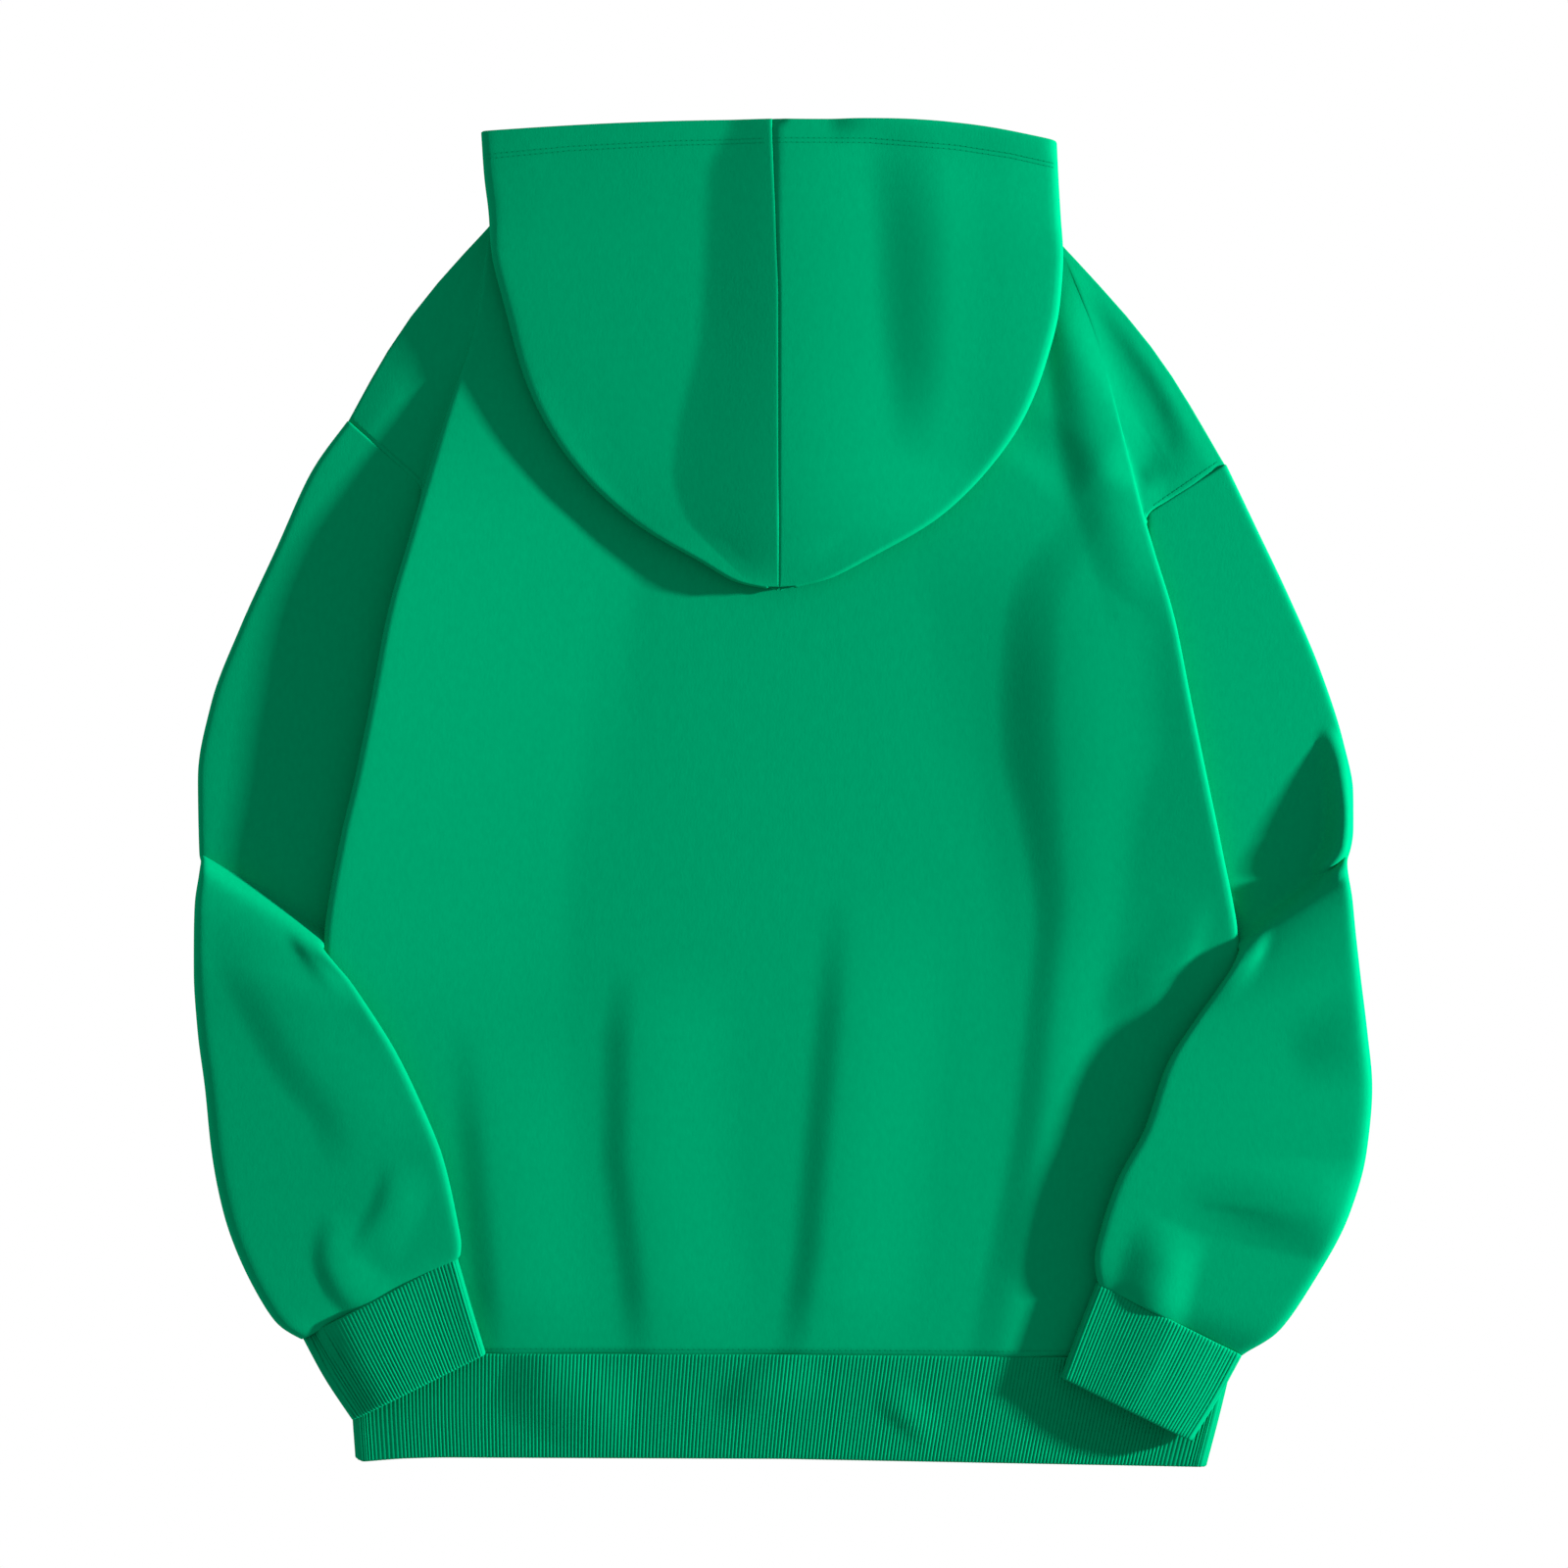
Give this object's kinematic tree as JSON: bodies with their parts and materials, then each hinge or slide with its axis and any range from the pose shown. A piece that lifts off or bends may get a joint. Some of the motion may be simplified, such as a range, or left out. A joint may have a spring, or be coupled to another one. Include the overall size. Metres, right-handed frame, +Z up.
{
  "type": "zip-up hoodie",
  "caption": "Zip-up fleece hoodie laid flat on its front, seen from the back, sleeves folded down over its sides, hood flopped on its upper back, with ribbed cuffs and hem.",
  "frame": {"origin": "on the surface that the hoodie rests on, under the middle of its outline", "axes": "+X towards the wearer's right side, +Y from the hem to the hood's opening edge, +Z up, out of the wearer's back"},
  "size_m": [0.672, 0.77, 0.0279],
  "materials": {
    "green_fleece": "smooth matt fleece knit",
    "green_rib": "1x1 rib knit",
    "green_tape": "woven zip tape",
    "zip_metal": "satin"
  },
  "bodies": {
    "garment": {"back_panel": "green_fleece", "front_panel_left": "green_fleece", "front_panel_right": "green_fleece", "sleeve_left": "green_fleece", "sleeve_right": "green_fleece", "cuff_left": "green_rib", "cuff_right": "green_rib", "hood_left": "green_fleece", "hood_right": "green_fleece", "hem_band": "green_rib", "zip_tape_left": "green_tape", "zip_tape_right": "green_tape", "zip_chain": "zip_metal", "zip_bottom_box": "zip_metal", "zip_top_stop_left": "zip_metal", "zip_top_stop_right": "zip_metal", "zip_slider": "zip_metal"},
    "pull_tab": {"zip_pull": "zip_metal"}
  },
  "joints": [
    {"name": "pull_tab_hinge", "type": "hinge", "parent": "garment", "child": "pull_tab", "pos_m": [0, 0.248, 0.00155], "axis": [1, 0, 0], "range_deg": [0, 150]}
  ]
}
